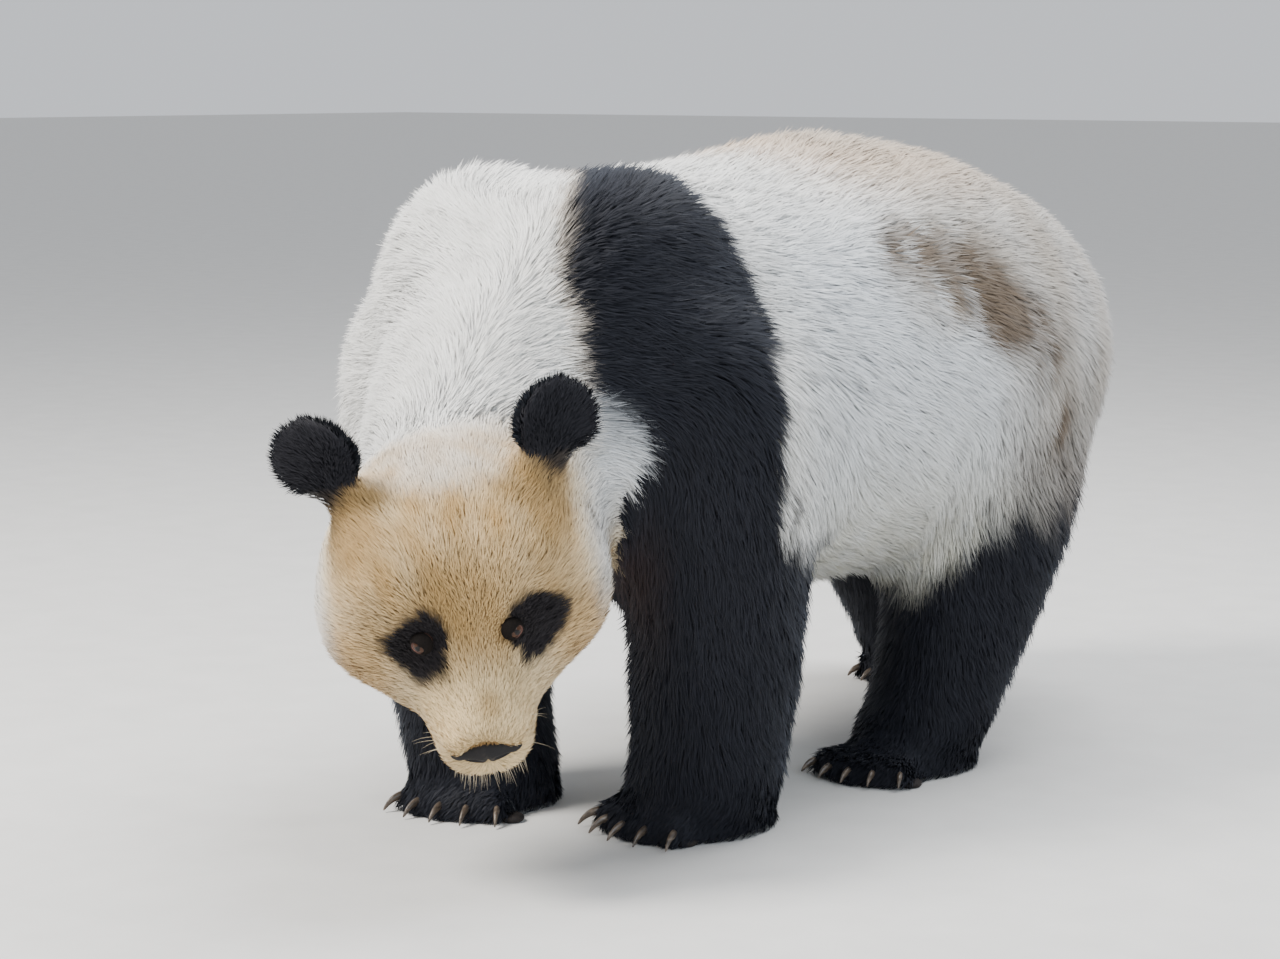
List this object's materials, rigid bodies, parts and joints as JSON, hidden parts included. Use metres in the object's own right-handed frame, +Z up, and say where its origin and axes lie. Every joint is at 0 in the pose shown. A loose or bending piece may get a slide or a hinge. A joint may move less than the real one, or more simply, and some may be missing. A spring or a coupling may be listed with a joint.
{
  "type": "giant panda",
  "caption": "Life-size still model of an adult giant panda walking with its head low and turned to one side, resting on flat soles.",
  "frame": {"origin": "on the floor, below the middle of the whole animal's bounding box", "axes": "+Z up, the body faces -Y and its left side is at +X; the head is lowered and turned about 43 degrees to the animal's left"},
  "size_m": [0.5362, 1.3452, 0.7188],
  "materials": {
    "white_fur": "soft dense fur, white with a cool cast, yellowing towards the belly",
    "face_fur": "short dense fur, golden tan on the forehead and cream on the muzzle",
    "rump_fur": "soft fur, dirty white with grey brown streaks and patches",
    "black_fur": "dense black fur with a cool sheen",
    "claw": "worn horn, brown grey, paler towards the tip",
    "nose": "moist black pebbled nose skin",
    "eye": "glossy dark brown eye"
  },
  "bodies": {
    "root": {"belly": "white_fur", "chest": "white_fur", "ear_l": "black_fur", "ear_r": "black_fur", "eye_l": "eye", "eye_r": "eye", "foreleg_l_claw_1": "claw", "foreleg_l_claw_2": "claw", "foreleg_l_claw_3": "claw", "foreleg_l_claw_4": "claw", "foreleg_l_claw_5": "claw", "foreleg_l_lower": "black_fur", "foreleg_l_paw": "black_fur", "foreleg_l_upper": "black_fur", "foreleg_r_claw_1": "claw", "foreleg_r_claw_2": "claw", "foreleg_r_claw_3": "claw", "foreleg_r_claw_4": "claw", "foreleg_r_claw_5": "claw", "foreleg_r_lower": "black_fur", "foreleg_r_paw": "black_fur", "foreleg_r_upper": "black_fur", "head": "face_fur", "hindleg_l_claw_1": "claw", "hindleg_l_claw_2": "claw", "hindleg_l_claw_3": "claw", "hindleg_l_claw_4": "claw", "hindleg_l_claw_5": "claw", "hindleg_l_lower": "black_fur", "hindleg_l_paw": "black_fur", "hindleg_l_upper": "black_fur", "hindleg_r_claw_1": "claw", "hindleg_r_claw_2": "claw", "hindleg_r_claw_3": "claw", "hindleg_r_claw_4": "claw", "hindleg_r_claw_5": "claw", "hindleg_r_lower": "black_fur", "hindleg_r_paw": "black_fur", "hindleg_r_upper": "black_fur", "lower_jaw": "face_fur", "muzzle": "face_fur", "neck": "white_fur", "nose": "nose", "rump": "rump_fur", "tail": "rump_fur"}
  },
  "joints": []
}
